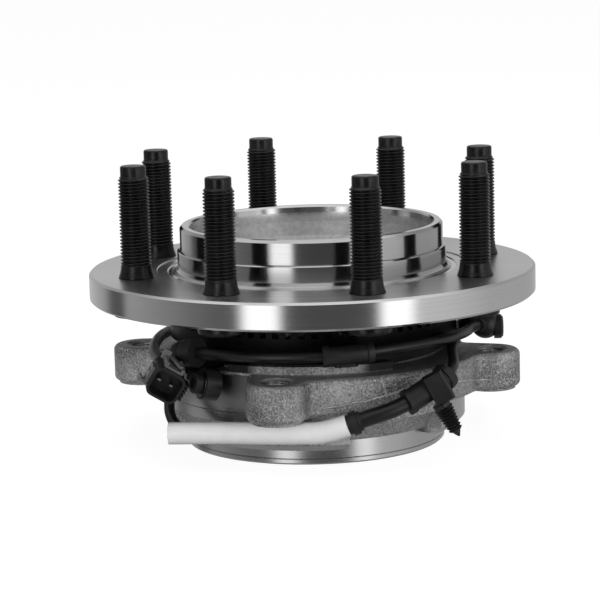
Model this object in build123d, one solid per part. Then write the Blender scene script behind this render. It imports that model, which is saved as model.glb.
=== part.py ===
from build123d import *
import math
import os

# Wheel hub bearing unit, in millimetres.
# Z is the axle line, +Z points to the wheel, and z = 0 is the inboard end face of the outer ring.
# Angles are measured from +X towards +Y. The lead's front run faces -Y.

# Wheel flange
flange_margin = 19.85
flange_thickness = 12.5
flange_edge = 1.0
flange_standoff = 10.1
face_recess_width = 5.0
face_recess_depth = 0.5
fillet_land = 2.2

# Wheel studs
stud_count = 8
stud_circle_radius = 82.55
stud_phase = -73.81
stud_radius = 7.0
stud_shank_radius = 7.3
stud_reach = 50.7
stud_collar_height = 5.7
stud_tip_radius = 5.6
stud_tip_length = 4.7
stud_head_radius = 10.7
stud_head_thickness = 5.0
stud_sink_radius = 8.25

# Pilots and cup
brake_pilot_radius = 61.7
brake_pilot_height = 9.2
pilot_step = 1.35
wheel_pilot_height = 11.0
pilot_wall = 4.55
pilot_fillet = 2.6
cup_floor_depth = 16.1
nut_seat_radius = 30.0

# Spindle
cone_wall = 5.4
clinch_width = 7.0
clinch_height = 3.0
spline_count = 33
spline_minor_radius = 16.2
spline_depth = 1.3
axle_bore_radius = 18.2
axle_bore_length = 12.0
bore_relief_depth = 0.6
bore_relief_length = 1.5

# Bearing rows
bearing_mid_z = 29.0
row_offset = 12.0
pitch_radius = 46.0
contact_angle = 14.0
roller_radius = 4.6
roller_length = 17.0
rollers_per_row = 22
race_gap = 0.15
end_gap = 0.2
rib_rise = 0.1
outboard_rib = 8.25
inboard_rib = 4.15
cage_thickness = 1.8
cage_offset = 0.3
cage_end = 1.5
cage_pocket_gap = 0.2

# Outer ring
seal_seat_wall = 4.4
seal_seat_depth = 5.0
neck_wall = 4.5
land_wall = 4.7
land_height = 10.5
barrel_radius = 70.0
barrel_step = 0.7
barrel_base_z = 19.8
relief_depth = 4.0
relief_foot = 1.3
pad_base_z = 8.0
pad_angle = 48.0
pad_chamfer = 3.0

# Ears and webs
ear_count = 4
ear_phase = -12.0
ear_pitch_radius = 82.0
ear_end_radius = 13.5
ear_flare = 6.0
ear_top_z = 42.4
ear_thickness = 17.0
ear_corner_fillet = 7.0
ear_edge_fillet = 2.5
ear_pad_radius = 11.3
ear_pad_height = 1.0
ear_hole_radius = 6.25
ear_sink_radius = 7.7
web_width = 10.0
front_rib_height = 3.4
front_rib_setback = 0.4
front_rib_start = 236.0
front_rib_angle = 64.0

# Seals
seal_sheet = 0.8
seal_gap = 0.3
lip_gap = 0.25
seal_leg = 5.0

# Tone ring and sensor
tone_clearance = 5.0
tone_web_width = 8.0
tone_sheet = 1.5
tone_end_gap = 0.2
tone_windows = 72
tone_window_height = 2.6
tone_window_width = 2.8
tone_window_edge = 0.4
stud_head_gap = 0.3
sensor_gap = 1.2
sensor_rise = 4.4
sensor_barrel_radius = 4.2
sensor_plate = 2.5
sensor_ball_radius = 6.65
sensor_ball_reach = 5.0
sensor_ball_drop = 4.1
sensor_cap_radius = 5.6
sensor_cap_thickness = 4.0
sensor_cap_reach = 4.0
sensor_cap_drop = 1.2
sensor_screw_y = 11.5
sensor_screw_radius = 2.5
carrier_thickness = 1.4
carrier_height = 6.6
carrier_tab = 1.4
boss_wall = 1.8
boss_length = 4.8

# Lead and what is on it
cable_radius = 2.4
sleeve_gap = 0.1
cable_points = [
    (75.2, -8.4, 51.45), (71.5, -16, 52.0), (69, -30, 52.8), (61.5, -45, 53.2), (52, -56.5, 53.4),
    (39, -66, 53.3), (25, -72, 52.8), (8.5, -75.8, 52.0), (-9, -76.2, 51.7), (-25, -72.3, 51.5),
    (-40, -65, 51.4), (-50.5, -56.6, 51.2), (-58.6, -49.6, 50.0), (-63.4, -45.0, 44.6), (-64.6, -43.4, 36.8),
    (-65.2, -45.2, 29.2), (-65.2, -50.6, 22.0), (-61.0, -57.6, 17.4), (-52.4, -63.8, 17.4), (-41.0, -69.4, 18.0),
    (-27, -74.6, 18.3), (-12, -78.8, 18.9), (2, -82.5, 19.5), (12, -85.2, 22.8), (22, -85.4, 26.4),
    (31, -83.6, 28.6), (38.5, -81.0, 31.2), (47, -78.0, 35.7), (55.8, -74.8, 40.8), (60.2, -68, 44.4),
    (61, -58.5, 46.2), (60.8, -49.5, 46.4), (61.4, -40.5, 47.9), (62.8, -31, 50.2), (64.2, -19.5, 46.7),
    (64.9, -4.5, 45.0), (61.2, 22.3, 45.1), (46.8, 45.2, 45.0), (24.4, 60.4, 45.1), (-2.3, 65.1, 45.0),
    (-28.5, 58.5, 45.1), (-52.5, 44.5, 46.6), (-63.4, 30.5, 47.6), (-68.2, 15.0, 47.9), (-71.0, 1.5, 48.4),
    (-72.3, -11.5, 48.0), (-73.0, -25.5, 46.8), (-68.37, -41.52, 44.95), (-67.47, -50.38, 43.64),
]
clip_middle = Vector(14, -74.6, 52.2)
clip_length = 22.0
clip_radius = 4.15
clip_end_radius = 4.8
clip_end_length = 2.8
grommet_middle = Vector(-55.2, -52.6, 50.6)
grommet_radius = 6.5
grommet_length = 10.5
grommet_bead = 5.0
grommet_waist_depth = 1.9
grommet_waist = 2.6
clamp_wall = 1.3
clamp_gap = 0.15
strap_thickness = 2.4
strap_width = 5.0
eyelet_middle = Vector(-46.9, -61.8, 38.0)
eyelet_axis = Vector(-0.875, -0.40, 0.20)
eyelet_radius = 6.9
eyelet_length = 7.0
bushing_radius = 4.2
bushing_bore = 2.6
bushing_flange_radius = 6.1
bushing_flange_thickness = 0.6
nose_radius = 4.65
nose_length = 3.6
white_sleeve_start = Vector(-64.8, -67.6, 17.8)
white_sleeve_joins = Vector(-27, -74.6, 18.3)
white_sleeve_end = Vector(13.4, -85.4, 23.3)
white_sleeve_radius = 4.9
white_sleeve_wall = 1.1
band_length = 6.0
band_radius = 5.3
stiffener_radius = 3.6
body_start = Vector(39.2, -80.8, 31.6)
body_end = Vector(57.2, -73.2, 41.8)
body_radius = 5.8
body_flange_radius = 6.0
fir_base = Vector(56.0, -81.5, 32.4)
fir_axis = Vector(0.47, 0.06, -0.88)
fir_block = (9.0, 5.4, 13.5)
fir_stem_offset = -2.6
fir_stem_radius = 1.7
fir_fin_radius = 4.3
fir_fin_count = 8
fir_fin_pitch = 1.5
fir_fin_thickness = 0.7

# Connector
plug_face = Vector(-65.07, -74.0, 40.16)
plug_axis = Vector(0.10, -0.984, -0.145)
plug_across = Vector(0.83, 0.16, -0.533)
plug_width = 15.0
plug_height = 13.7
plug_wall = 1.2
plug_corner = 3.7
plug_cavity_depth = 10.0
plug_length = 15.0
plug_rear_size = 11.0
plug_rear_length = 5.0
plug_boot_radius = 4.0
pin_spacing = 5.9
pin_width = 1.5
pin_thickness = 0.8
pin_length = 5.5
pin_root = 2.0
lock_rail_width = 1.3
lock_rail_height = 2.4
lock_start = 2.5
lock_arm_width = 2.2
lock_arm_turn = 26.0
thumb_width = 3.2
thumb_height = 4.6
clip_plate = 1.3
rib_count = 5
rib_pitch = 1.7
rib_thickness = 0.9
rib_reach = 2.2

# Worked-out radii and levels
flange_radius = stud_circle_radius + flange_margin
wheel_pilot_radius = brake_pilot_radius - pilot_step
ridge_radius = brake_pilot_radius + pilot_fillet + fillet_land
face_recess_radius = ridge_radius + face_recess_width
rib_radius = pitch_radius + rib_rise
spindle_radius = pitch_radius - roller_radius - cone_wall
clinch_radius = spindle_radius + clinch_width
seal_seat_radius = pitch_radius + roller_radius + seal_seat_wall
seal_leg_inner = seal_seat_radius - seal_leg
neck_radius = seal_seat_radius + neck_wall
land_radius = seal_seat_radius + land_wall
relief_base_radius = land_radius + relief_foot
relief_top_radius = barrel_radius - relief_depth
upper_barrel_radius = barrel_radius - barrel_step
pad_radius = barrel_radius - barrel_step
web_radius = barrel_radius + web_width
front_rib_radius = upper_barrel_radius - front_rib_setback
tone_outer_radius = neck_radius + tone_clearance + tone_sheet
tone_seat_radius = tone_outer_radius - tone_web_width
cos_contact = math.cos(math.radians(contact_angle))
sin_contact = math.sin(math.radians(contact_angle))
taper_angle = math.degrees(math.asin(roller_radius * sin_contact / pitch_radius))
row_half = roller_length / 2 * cos_contact
shoulder_z = bearing_mid_z + row_offset + row_half + outboard_rib
inboard_stop_z = bearing_mid_z - row_offset - row_half - inboard_rib
outer_top_z = 2 * bearing_mid_z - 1.5
flange_back_z = shoulder_z + flange_standoff
flange_face_z = flange_back_z + flange_thickness
pilot_step_z = flange_face_z + brake_pilot_height
pilot_top_z = pilot_step_z + wheel_pilot_height
stud_top_z = flange_face_z + stud_reach
ear_base_z = ear_top_z - ear_thickness
carrier_base_z = ear_top_z + 1.0
carrier_top_z = carrier_base_z + carrier_height
tone_top_z = flange_back_z - stud_head_thickness - stud_head_gap
tone_web_z = tone_top_z - tone_sheet
tone_end_z = carrier_top_z + tone_end_gap
sensor_barrel_z = tone_end_z + sensor_rise
sensor_face_x = tone_outer_radius + sensor_gap
sensor_plate_x = sensor_face_x + boss_length
sensor_neck_x = sensor_plate_x + sensor_plate
sensor_ball = Vector(sensor_neck_x + sensor_ball_reach, 0, sensor_barrel_z - sensor_ball_drop)
bore_start_z = inboard_stop_z - clinch_height
bore_end_z = bore_start_z + 1.0 + axle_bore_length


def ring(points):
    """Turns a closed outline of (radius, height) points about the axle line."""
    outline = make_face(Plane.XZ * Polyline(*points, close=True))
    return revolve(outline, Axis.Z)


def sector(points, start, angle):
    """Turns an outline through part of a circle only."""
    outline = Rot(0, 0, start) * make_face(Plane.XZ * Polyline(*points, close=True))
    return revolve(outline, Axis.Z, angle)


def on_circle(radius, angle, z=0.0):
    """Gives the place at an angle on a circle about the axle line."""
    turn = math.radians(angle)
    return Vector(radius * math.cos(turn), radius * math.sin(turn), z)


def wheel_flange():
    """Makes the flange, stepped pilot, cup and spindle as one turned forging."""
    face = flange_face_z
    recess = face - face_recess_depth
    cup_floor = face - cup_floor_depth
    rim = wheel_pilot_radius - pilot_wall
    groove_radius = axle_bore_radius + bore_relief_depth
    groove_end = bore_end_z + bore_relief_length
    profile = [
        (axle_bore_radius + 1.0, bore_start_z), (clinch_radius - 1.5, bore_start_z),
        (clinch_radius, bore_start_z + 1.2), (clinch_radius, inboard_stop_z - 0.5),
        (clinch_radius - 0.6, inboard_stop_z), (spindle_radius, inboard_stop_z),
        (spindle_radius, shoulder_z), (rib_radius + 1.4, shoulder_z), (rib_radius + 3.4, shoulder_z + 1.6),
        (tone_seat_radius, shoulder_z + 3.0), (tone_seat_radius, flange_back_z - 1.2),
        (tone_seat_radius + 1.2, flange_back_z), (flange_radius - flange_edge, flange_back_z),
        (flange_radius, flange_back_z + flange_edge), (flange_radius, face - flange_edge),
        (flange_radius - flange_edge, face), (face_recess_radius, face),
        (face_recess_radius - 0.4, recess), (ridge_radius, recess), (ridge_radius - 0.5, recess - 0.5),
        (brake_pilot_radius + pilot_fillet, recess - 0.5),
        (brake_pilot_radius + 0.35 * pilot_fillet, recess - 0.5 + 0.35 * pilot_fillet),
        (brake_pilot_radius, recess - 0.5 + pilot_fillet), (brake_pilot_radius, pilot_step_z - 0.6),
        (brake_pilot_radius - 0.4, pilot_step_z - 0.1), (wheel_pilot_radius, pilot_step_z + 0.2),
        (wheel_pilot_radius, pilot_top_z - 1.2), (wheel_pilot_radius - 1.1, pilot_top_z),
        (rim + 0.8, pilot_top_z), (rim, pilot_top_z - 0.8), (rim - 1.0, pilot_top_z - 7.5),
        (rim - 2.9, pilot_top_z - 14), (rim - 6.0, pilot_top_z - 20), (rim - 11, pilot_top_z - 27),
        (rim - 18, cup_floor + 4.5), (nut_seat_radius + 1.5, cup_floor + 1.5), (nut_seat_radius, cup_floor),
        (spline_minor_radius + spline_depth + 2.0, cup_floor),
        (spline_minor_radius + spline_depth + 2.0, cup_floor - 5.0), (spline_minor_radius, cup_floor - 6.5),
        (spline_minor_radius, groove_end + groove_radius - spline_minor_radius),
        (groove_radius, groove_end), (groove_radius, bore_end_z),
        (axle_bore_radius, bore_end_z), (axle_bore_radius, bore_start_z + 1.0),
    ]
    forging = ring(profile)
    forging -= splines(bore_end_z, cup_floor)
    for place in stud_places():
        hole = Pos(place.X, place.Y, flange_back_z) * Cylinder(
            stud_shank_radius, flange_thickness, align=(Align.CENTER, Align.CENTER, Align.MIN)
        )
        sink_depth = stud_sink_radius - stud_shank_radius
        sink = Pos(place.X, place.Y, face - sink_depth) * Cone(
            stud_shank_radius, stud_sink_radius, sink_depth, align=(Align.CENTER, Align.CENTER, Align.MIN)
        )
        forging -= hole + sink
    return forging


def splines(bottom, top):
    """Makes the grooves between the spline teeth, as one cutter."""
    half = math.pi * spline_minor_radius / spline_count / 2
    tip = spline_minor_radius + spline_depth
    groove = make_face(
        Polyline(
            (spline_minor_radius - 0.5, -half), (tip, -0.55 * half), (tip, 0.55 * half),
            (spline_minor_radius - 0.5, half), close=True
        )
    )
    grooves = PolarLocations(0, spline_count) * groove
    return extrude(Pos(0, 0, bottom) * (Sketch() + grooves), top - bottom)


def stud_places():
    """Lists the middles of the studs."""
    return [on_circle(stud_circle_radius, stud_phase + i * 360 / stud_count) for i in range(stud_count)]


def wheel_stud():
    """Makes one stud about the axle line: head, shank, collar, thread cylinder and dog point."""
    head = flange_back_z - stud_head_thickness
    face = flange_face_z
    tip_start = stud_top_z - stud_tip_length
    return ring([
        (0, head), (stud_head_radius - 0.8, head), (stud_head_radius, head + 0.8),
        (stud_head_radius, flange_back_z), (stud_shank_radius, flange_back_z), (stud_shank_radius, face + 1.8),
        (stud_radius, face + stud_collar_height), (stud_radius, tip_start - 0.9),
        (stud_tip_radius + 0.4, tip_start), (stud_tip_radius, tip_start + 0.2),
        (stud_tip_radius, stud_top_z - 0.6), (stud_tip_radius - 0.6, stud_top_z), (0, stud_top_z),
    ])


def tone_ring():
    """Makes the stamped cup whose skirt passes the sensor, with a row of windows."""
    inner = tone_outer_radius - tone_sheet
    seat_top = flange_back_z - 1.4
    cup = ring([
        (tone_seat_radius, tone_web_z), (inner, tone_web_z), (inner, tone_end_z),
        (tone_outer_radius, tone_end_z), (tone_outer_radius, tone_top_z - 0.6),
        (tone_outer_radius - 0.6, tone_top_z), (tone_seat_radius + tone_sheet, tone_top_z),
        (tone_seat_radius + tone_sheet, seat_top), (tone_seat_radius, seat_top),
    ])
    window_z = tone_web_z - tone_window_edge - tone_window_height / 2
    window = Pos(tone_outer_radius - tone_sheet / 2, 0, window_z) * Box(
        3 * tone_sheet, tone_window_width, tone_window_height
    )
    windows = PolarLocations(0, tone_windows) * window
    return cup - windows


def mirrored_z(z):
    """Gives the level on the other row that matches z."""
    return 2 * bearing_mid_z - z


def race_line(side, z):
    """Gives the radius of the outer (+1) or inner (-1) raceway of the outboard row at a level."""
    row_z = bearing_mid_z + row_offset
    touch_r = pitch_radius + side * (roller_radius + race_gap) * cos_contact
    touch_z = row_z - side * (roller_radius + race_gap) * sin_contact
    slope = math.tan(math.radians(contact_angle + side * taper_angle))
    return touch_r + slope * (z - touch_z)


def inner_ring(end_z, flip):
    """Makes one cone: bore on the spindle, raceway, small lip and the large rib behind the rollers."""
    row_z = bearing_mid_z + row_offset
    large_z = row_z + row_half
    rib_top_z = large_z - (rib_radius - pitch_radius - roller_length / 2 * sin_contact) * sin_contact
    rib_top_z += end_gap / cos_contact
    foot_z = large_z + roller_radius * sin_contact + end_gap
    small_z = row_z - row_half + roller_radius * sin_contact - 0.3
    points = [
        (spindle_radius, bearing_mid_z), (spindle_radius, end_z), (rib_radius, end_z),
        (rib_radius, rib_top_z + 0.2), (race_line(-1, foot_z), foot_z + 0.2),
        (race_line(-1, foot_z), foot_z - 0.3), (race_line(-1, small_z), small_z),
        (race_line(-1, small_z) + 0.7, small_z - 0.5),
        (race_line(-1, small_z) + 0.7, bearing_mid_z + 1.0), (race_line(-1, small_z), bearing_mid_z),
    ]
    if flip:
        points = [(r, mirrored_z(z)) for r, z in points]
    return ring(points)


def rollers(gap, flip):
    """Makes one row of tapered rollers, grown by a gap where they serve as a cutter."""
    middle = bearing_mid_z + row_offset
    half = roller_length / 2 + gap
    growth = half * math.tan(math.radians(taper_angle))
    roller = Cone(roller_radius + gap - growth, roller_radius + gap + growth, 2 * half)
    placed = Pos(pitch_radius, 0, middle) * Rot(0, contact_angle, 0) * roller
    if flip:
        placed = mirror(placed, Plane.XY.offset(bearing_mid_z))
    return PolarLocations(0, rollers_per_row) * placed


def cage(flip):
    """Makes the sloped cage between the rollers, with a pocket for each."""
    middle = Vector(pitch_radius, bearing_mid_z + row_offset)
    along = Vector(sin_contact, cos_contact)
    out = Vector(cos_contact, -sin_contact)
    reach = roller_length / 2 + cage_pocket_gap + cage_end
    near = cage_offset
    far = cage_offset + cage_thickness
    corners = [
        middle - along * reach + out * near, middle + along * reach + out * near,
        middle + along * reach + out * far, middle - along * reach + out * far,
    ]
    points = [(c.X, c.Y) for c in corners]
    if flip:
        points = [(r, mirrored_z(z)) for r, z in points]
    return ring(points) - rollers(cage_pocket_gap, flip)


def outer_ring_body():
    """Turns the outer ring's bore, raceways, neck, barrel and inboard land."""
    seat = outer_top_z - seal_seat_depth
    race_top = seat - 1.4
    race_base = bearing_mid_z + row_offset - row_half - 1.2
    bore = race_line(1, race_base) - 0.3
    half_bore = [
        (seal_seat_radius, outer_top_z), (seal_seat_radius, seat), (race_line(1, race_top), seat),
        (race_line(1, race_top), race_top), (race_line(1, race_base), race_base), (bore, race_base - 1.0),
    ]
    lower_bore = [(r, mirrored_z(z)) for r, z in reversed(half_bore)]
    lower_bore[-1] = (seal_seat_radius, 0)
    outside = [
        (land_radius - 0.8, 0), (land_radius, 0.8), (land_radius, 2.3), (land_radius - 0.4, 2.6),
        (land_radius, 2.9), (land_radius, land_height), (relief_base_radius, land_height + 0.3),
        (relief_top_radius, barrel_base_z - 0.3), (barrel_radius, barrel_base_z + 0.2),
        (barrel_radius, ear_base_z - ear_pad_height),
        (upper_barrel_radius, ear_base_z - ear_pad_height + 0.2), (upper_barrel_radius, ear_top_z - 1.2),
        (upper_barrel_radius - 1.2, ear_top_z), (neck_radius + 0.9, ear_top_z),
        (neck_radius, ear_top_z + 0.9), (neck_radius, outer_top_z - 0.8), (neck_radius - 0.8, outer_top_z),
    ]
    return ring(half_bore + lower_bore + outside)


def wedge(start, angle):
    """Makes a flat wedge from the axle line outwards, wider than the part."""
    far = 2 * flange_radius
    corners = [on_circle(far, start + angle * i / 2) for i in range(3)]
    return make_face(Polyline((0, 0), *[(c.X, c.Y) for c in corners], close=True))


def ear_outline():
    """Draws barrel, webs and ears from above, with rounded inner corners."""
    plan = Sketch() + Circle(barrel_radius - 2.0)
    for start in (ear_phase - 90, ear_phase + 90):
        plan += Circle(web_radius) & wedge(start, 90)
    lean = math.radians(ear_flare)
    tangent_x = ear_pitch_radius + ear_end_radius * math.sin(lean)
    tangent_y = ear_end_radius * math.cos(lean)
    root_x = barrel_radius / 2
    root_y = tangent_y + (tangent_x - root_x) * math.tan(lean)
    neck = make_face(
        Polyline(
            (root_x, -root_y), (tangent_x, -tangent_y), (tangent_x, tangent_y), (root_x, root_y), close=True
        )
    )
    for i in range(ear_count):
        turn = Rot(0, 0, ear_phase + 90 * i)
        plan += turn * (neck + Pos(ear_pitch_radius, 0) * Circle(ear_end_radius))
    return offset(offset(plan, ear_corner_fillet), -ear_corner_fillet)


def ear_places():
    """Lists the middles of the tapped ear holes."""
    return [on_circle(ear_pitch_radius, ear_phase + 90 * i) for i in range(ear_count)]


def ears():
    """Makes the four ears and two webs, with round edges and machined pads below."""
    block = extrude(Pos(0, 0, ear_base_z) * ear_outline(), ear_thickness)
    reach = barrel_radius + 0.1
    outer = [e for e in block.edges() if math.hypot(*tuple(e @ 0.5)[:2]) > reach]
    flat = [e for e in outer if abs((e % 0.5).Z) < 0.1]
    block = fillet(flat, ear_edge_fillet)
    for place in ear_places():
        block += Pos(place.X, place.Y, ear_base_z - ear_pad_height) * Cylinder(
            ear_pad_radius, ear_pad_height + 1.0, align=(Align.CENTER, Align.CENTER, Align.MIN)
        )
    return block


def ear_hole():
    """Makes the cutter of one tapped hole with a countersink at each end."""
    low = ear_base_z - ear_pad_height
    sink = ear_sink_radius - ear_hole_radius
    return ring([
        (0, low - 1), (ear_sink_radius + 1, low - 1), (ear_sink_radius, low),
        (ear_hole_radius, low + sink), (ear_hole_radius, ear_top_z - sink), (ear_sink_radius, ear_top_z),
        (ear_sink_radius + 1, ear_top_z + 1), (0, ear_top_z + 1),
    ])


def outer_ring():
    """Joins the turned body, ears, pilot pads and the cast rib in front, and cuts the holes."""
    body = outer_ring_body()
    bore_limit = land_radius - 1.5
    solid_ears = ears() - Cylinder(bore_limit, 4 * ear_top_z)
    body += solid_ears
    pad_points = [
        (bore_limit, pad_base_z), (pad_radius - pad_chamfer, pad_base_z),
        (pad_radius, pad_base_z + pad_chamfer), (pad_radius, barrel_base_z + 0.5),
        (bore_limit, barrel_base_z + 0.5),
    ]
    for i in range(ear_count):
        body += sector(pad_points, ear_phase + 90 * i - pad_angle / 2, pad_angle)
    rib_points = [
        (neck_radius + 3.0, ear_top_z - 1), (front_rib_radius, ear_top_z - 1),
        (front_rib_radius - 0.6, ear_top_z + front_rib_height),
        (neck_radius + 3.0, ear_top_z + front_rib_height),
    ]
    body += sector(rib_points, front_rib_start, front_rib_angle)
    for place in ear_places():
        body -= Pos(place.X, place.Y, 0) * ear_hole()
    return body


def seal_pieces(flip):
    """Makes the seal case, its rubber lip and the slinger of one end, as outboard or mirrored inboard."""
    top = outer_top_z
    sheet = seal_sheet
    case_leg = seal_seat_radius - sheet
    base = top - seal_seat_depth + 0.5
    case = [
        (seal_leg_inner, base), (seal_seat_radius, base), (seal_seat_radius, top - 0.6),
        (case_leg, top - 0.6), (case_leg, base + sheet), (seal_leg_inner, base + sheet),
    ]
    sleeve = rib_radius + sheet
    flange_end = case_leg - seal_gap
    slinger = [
        (rib_radius, base + 0.4), (sleeve, base + 0.4), (sleeve, top - sheet), (flange_end, top - sheet),
        (flange_end, top), (rib_radius, top),
    ]
    lip = [
        (sleeve + lip_gap, base + 0.2), (seal_leg_inner, base - 0.2), (seal_leg_inner, base + sheet + 0.3),
        (seal_leg_inner - 0.4, top - sheet - lip_gap), (seal_leg_inner - 1.0, top - sheet - lip_gap),
        (seal_leg_inner - 1.1, base + sheet + 0.4), (sleeve + lip_gap, base + 1.4),
    ]
    outlines = [case, lip, slinger]
    if flip:
        outlines = [[(r, mirrored_z(z)) for r, z in points] for points in outlines]
    return [ring(points) for points in outlines]


def facing(origin, axis):
    """Gives a plane whose Z runs along an axis."""
    return Plane(origin=origin, z_dir=axis.normalized())


def sensor_side(x, y=0.0):
    """Gives a plane that looks out along +X at the sensor's level."""
    return Plane(origin=(x, y, sensor_barrel_z), x_dir=(0, 1, 0), z_dir=(1, 0, 0))


def sensor_pad_outline(radius):
    """Draws the oval round the sensor's barrel and its screw."""
    outline = Circle(radius) + Pos(sensor_screw_y, -1.6) * Circle(radius - 1.6)
    bridge = Polyline(
        (0, radius), (sensor_screw_y, radius - 3.2), (sensor_screw_y, -radius), (0, -radius), close=True
    )
    return outline + make_face(bridge)


def carrier_ring():
    """Makes the band on the neck with the sensor's boss and the two clip tabs."""
    band_radius_out = neck_radius + carrier_thickness
    shelf_top = tone_end_z - 0.6
    band = ring([
        (neck_radius, carrier_base_z), (band_radius_out, carrier_base_z), (band_radius_out, carrier_top_z),
        (neck_radius, carrier_top_z),
    ])
    boss_start = sensor_face_x
    shelf_reach = boss_start + boss_length - band_radius_out + 0.5
    shelf = Pos(band_radius_out - 0.5, -5, shelf_top - carrier_tab) * Box(
        shelf_reach, sensor_screw_y + 9.0, carrier_tab, align=(Align.MIN, Align.MIN, Align.MIN)
    )
    boss = extrude(sensor_side(boss_start) * sensor_pad_outline(sensor_barrel_radius + boss_wall), boss_length)
    bore = extrude(sensor_side(boss_start - 1) * Circle(sensor_barrel_radius + sleeve_gap), boss_length + 2)
    screw_hole = extrude(
        sensor_side(boss_start - 1, sensor_screw_y) * Pos(0, -1.6) * Circle(sensor_screw_radius), boss_length + 2
    )
    trim = Pos(boss_start, 0, shelf_top - carrier_tab) * Box(
        60, 60, 20, align=(Align.CENTER, Align.CENTER, Align.MAX)
    )
    carrier = band + shelf + (boss - trim) - bore - screw_hole
    carrier += clip_tab(clip_middle, clip_radius, 11.0)
    return carrier + clip_tab(grommet_middle, grommet_radius, 9.0)


def clip_tab(middle, radius, width):
    """Makes the arm that reaches from the band to just below a clip."""
    angle = math.degrees(math.atan2(middle.Y, middle.X))
    reach = math.hypot(middle.X, middle.Y) - strap_thickness / 2
    top = middle.Z - radius - seal_gap
    start = neck_radius + carrier_thickness - 0.5
    low = min(top - carrier_tab, carrier_base_z)
    arm = Pos(start, 0, top) * Box(
        reach - start, width, carrier_tab, align=(Align.MIN, Align.CENTER, Align.MAX)
    )
    foot = Pos(start, 0, top) * Box(
        1.0, width, top - low, align=(Align.MIN, Align.CENTER, Align.MAX)
    )
    return Rot(0, 0, angle) * (fillet(arm.edges().group_by(Axis.X)[-1].filter_by(Axis.Z), width / 4) + foot)


def speed_sensor():
    """Makes the sensor: barrel, mounting plate, neck, ball-shaped elbow and round cap."""
    tip = sensor_face_x
    plate_x = sensor_plate_x
    barrel = extrude(sensor_side(tip) * Circle(sensor_barrel_radius), boss_length + sensor_plate)
    groove = extrude(sensor_side(tip + 1.5) * Circle(sensor_barrel_radius), 1.2)
    groove -= extrude(sensor_side(tip + 1.5) * Circle(sensor_barrel_radius - 0.8), 1.2)
    plate = extrude(sensor_side(plate_x) * sensor_pad_outline(sensor_barrel_radius + boss_wall), sensor_plate)
    plate -= extrude(
        sensor_side(plate_x - 1, sensor_screw_y) * Pos(0, -1.6) * Circle(sensor_screw_radius), sensor_plate + 2
    )
    plate_end = sensor_neck_x
    lean = Vector(sensor_ball.X - plate_end, 0, sensor_ball.Z - sensor_barrel_z + 1.0)
    neck = extrude(facing(Vector(plate_end - 0.5, 0, sensor_barrel_z - 1.0), lean) * Circle(4.4), lean.length)
    neck &= extrude(sensor_side(plate_x + 0.5) * Rectangle(40, 40), 40)
    ball = Pos(*sensor_ball) * Sphere(sensor_ball_radius)
    cap_z = sensor_ball.Z - sensor_cap_drop
    cap_x = sensor_ball.X + sensor_cap_reach
    cap_side = Plane(origin=(cap_x, sensor_ball.Y, cap_z), x_dir=(0, 1, 0), z_dir=(1, 0, 0))
    cap = extrude(cap_side * Circle(sensor_cap_radius), sensor_cap_thickness)
    cap = chamfer(cap.edges().group_by(Axis.X)[-1], 1.0)
    stalk = extrude(cap_side * Circle(sensor_cap_radius - 1.4), -3.0)
    exit_point = Vector(*cable_points[0])
    exit_axis = exit_point - Vector(*cable_points[1])
    relief_length = (sensor_ball - exit_point).length
    relief_start = exit_point + exit_axis.normalized() * 0.05
    relief = extrude(facing(relief_start, exit_axis) * Circle(cable_radius + 0.9), relief_length)
    return (barrel - groove) + plate + neck + ball + cap + stalk + relief


def sensor_o_ring():
    """Makes the ring in the groove of the sensor's barrel."""
    tip = sensor_face_x
    sketch = Circle(sensor_barrel_radius) - Circle(sensor_barrel_radius - 0.8)
    return extrude(sensor_side(tip + 1.5) * sketch, 1.2)


def sensor_screw():
    """Makes the screw through the sensor's plate, with a washer head."""
    start = sensor_face_x
    seat = sensor_neck_x
    side = sensor_side(start, sensor_screw_y) * Pos(0, -1.6)
    shank = extrude(side * Circle(sensor_screw_radius), seat - start)
    head_side = sensor_side(seat, sensor_screw_y) * Pos(0, -1.6)
    washer = extrude(head_side * Circle(4.4), 0.8)
    head = extrude(head_side * RegularPolygon(4.0, 6), 3.4)
    return shank + washer + head


def cable_path():
    """Makes the lead's centre line: straight runs with an arc as large as they allow at each point."""
    points = [Vector(*p) for p in cable_points]
    radii = []
    for before, here, after in zip(points, points[1:], points[2:]):
        run = min((here - before).length, (after - here).length)
        turn = (here - before).get_angle(after - here)
        radii.append(0.45 * run / math.tan(math.radians(turn / 2)))
    return FilletPolyline(*points, radius=radii), radii


def tube_on(path, start, end, outer, inner):
    """Makes a hollow or full tube round a stretch of the lead, between two shares of its length."""
    stretch = path.trim(start, end)
    side = Plane(origin=stretch @ 0, z_dir=stretch % 0)
    section = Sketch() + Circle(outer)
    if inner > 0:
        section -= Circle(inner)
    return sweep(side * section, path=stretch)


def share_near(path, place):
    """Gives the share of the lead's length that lies nearest to a place."""
    steps = 1200
    return min(range(steps + 1), key=lambda i: (path @ (i / steps) - place).length) / steps


def sleeve_at(path, middle, offset, length, outer):
    """Makes a sleeve on the lead, given by its middle, an offset along the lead and its length."""
    total = path.length
    share = share_near(path, middle)
    start = share + (offset - length / 2) / total
    return tube_on(path, start, start + length / total, outer, cable_radius + sleeve_gap)


def sleeve_clip(path):
    """Makes the straight clip sleeve with a collar at each end and a finger beside it."""
    side = (clip_length - clip_end_length) / 2
    clip = sleeve_at(path, clip_middle, 0, clip_length, clip_radius)
    clip += sleeve_at(path, clip_middle, side, clip_end_length, clip_end_radius)
    return clip + sleeve_at(path, clip_middle, -side, clip_end_length, clip_end_radius)


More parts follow.
